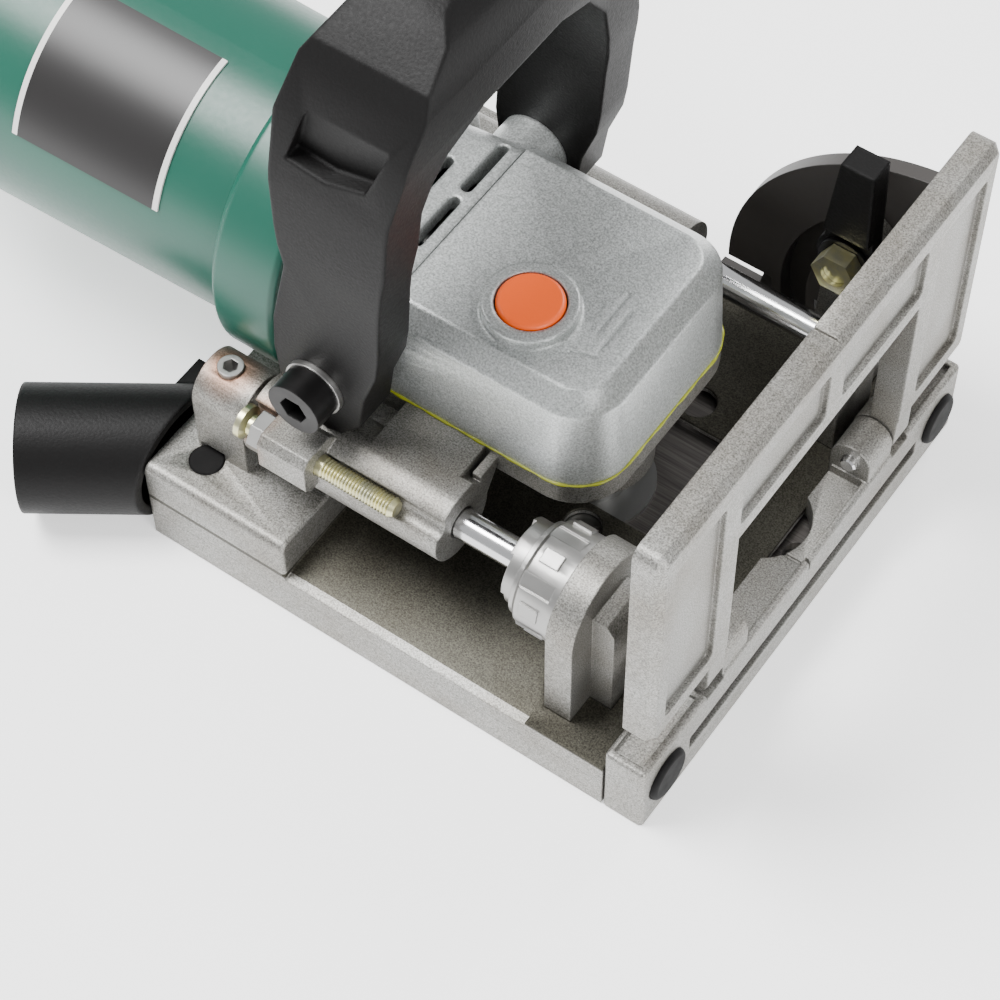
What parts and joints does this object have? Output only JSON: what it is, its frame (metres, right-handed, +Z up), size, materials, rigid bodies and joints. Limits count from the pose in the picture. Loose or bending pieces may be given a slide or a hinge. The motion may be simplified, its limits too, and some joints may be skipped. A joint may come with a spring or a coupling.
{
  "type": "biscuit joiner",
  "caption": "Biscuit joiner with a sliding motor carriage on two rods, a flat base with a blade slot, a tilting fence, a depth turret, a bow handle and a dust port.",
  "frame": {"origin": "centre of the sole, the flat underside of the base", "axes": "+X is the plunge direction, out of the working face; +Y is the tool's left; +Z is up from the sole"},
  "size_m": [0.3032, 0.1562, 0.164],
  "materials": {
    "black_oxide_steel": "satin",
    "black_plastic": "matte",
    "black_rubber": "matte",
    "bronze": "satin",
    "carbide": "satin",
    "carbon": "matte",
    "cast_aluminium": "satin",
    "copper": "satin",
    "dark_steel": "satin",
    "gasket_paper": "matte",
    "green_plastic": "gloss",
    "grey_plate": "satin",
    "label_film": "matte",
    "orange_plastic": "gloss",
    "plated_zinc": "satin",
    "polished_steel": "gloss",
    "silver_paint": "satin",
    "yellow_zinc": "satin"
  },
  "bodies": {
    "base": {"base_casting": "cast_aluminium", "base_cover": "cast_aluminium", "cover_screws": "plated_zinc", "front_plate": "cast_aluminium", "plate_screws": "dark_steel", "grip_pads": "black_rubber", "base_plugs": "black_rubber", "guide_rods": "polished_steel", "rod_set_screws": "plated_zinc", "rod_clips": "dark_steel", "detent_ball": "polished_steel", "detent_spring": "dark_steel", "hinge_pins": "polished_steel", "clamp_bolt": "yellow_zinc", "clamp_bracket": "grey_plate", "bracket_screw": "plated_zinc", "dust_port": "black_plastic"},
    "turret": {"depth_turret": "plated_zinc"},
    "fence": {"fence": "cast_aluminium", "quadrant": "grey_plate", "quadrant_screws": "plated_zinc"},
    "lever": {"lock_lever": "black_plastic", "lever_washer": "black_oxide_steel", "lever_nut": "yellow_zinc"},
    "carriage": {"carriage": "cast_aluminium", "rod_bushings": "bronze", "return_springs": "dark_steel", "depth_screw": "yellow_zinc", "depth_lock_nut": "plated_zinc", "gear_case": "silver_paint", "gear_case_gasket": "gasket_paper", "case_screws": "plated_zinc", "spindle_bearings": "dark_steel", "motor_bearings": "dark_steel", "motor_housing": "green_plastic", "stator": "dark_steel", "field_coils": "copper", "carbon_brushes": "carbon", "power_switch": "black_plastic", "cord_gland": "black_rubber", "nameplate": "label_film", "bow_handle": "black_plastic", "handle_bolts": "black_oxide_steel", "handle_washers": "plated_zinc", "button_spring": "dark_steel"},
    "spindle": {"spindle": "dark_steel", "bevel_gear": "dark_steel", "blade": "polished_steel", "blade_tips": "carbide", "blade_flanges": "dark_steel"},
    "armature": {"armature_shaft": "dark_steel", "armature_core": "dark_steel", "armature_windings": "copper", "commutator": "copper", "cooling_fan": "black_plastic", "bevel_pinion": "dark_steel"},
    "button": {"lock_button": "orange_plastic", "lock_pin": "dark_steel"},
    "switch": {"switch_slider": "black_plastic"}
  },
  "joints": [
    {"name": "carriage_plunge", "type": "slide", "parent": "base", "child": "carriage", "axis": [1, 0, 0], "range_m": [0, 0.015], "stiffness_N_per_m": 250, "springref_m": -0.02, "deforming": ["return_springs"]},
    {"name": "turret_turn", "type": "hinge", "parent": "base", "child": "turret", "pos_m": [0.03, -0.0458, 0.042], "axis": [1, 0, 0], "continuous": true},
    {"name": "fence_tilt", "type": "hinge", "parent": "base", "child": "fence", "pos_m": [0.0613, 0, 0.026], "axis": [0, 1, 0], "range_deg": [0, 90]},
    {"name": "lever_turn", "type": "hinge", "parent": "base", "child": "lever", "pos_m": [0.0415, 0.05, 0.0576], "axis": [0, 1, 0], "range_deg": [-60, 20]},
    {"name": "armature_spin", "type": "hinge", "parent": "carriage", "child": "armature", "pos_m": [-0.1, -0.0025, 0.062], "axis": [1, 0, 0], "continuous": true},
    {"name": "spindle_spin", "type": "hinge", "parent": "carriage", "child": "spindle", "pos_m": [0.012, -0.0025, 0.01], "axis": [0, 0, 1], "continuous": true},
    {"name": "button_press", "type": "slide", "parent": "carriage", "child": "button", "axis": [0, 0, -1], "range_m": [0, 0.003], "stiffness_N_per_m": 600, "springref_m": -0.002, "deforming": ["button_spring"]},
    {"name": "switch_slide", "type": "slide", "parent": "carriage", "child": "switch", "axis": [1, 0, 0], "range_m": [0, 0.006]}
  ],
  "couplings": [
    {"joint": "spindle_spin", "follows": "armature_spin", "ratio": -0.43333}
  ]
}
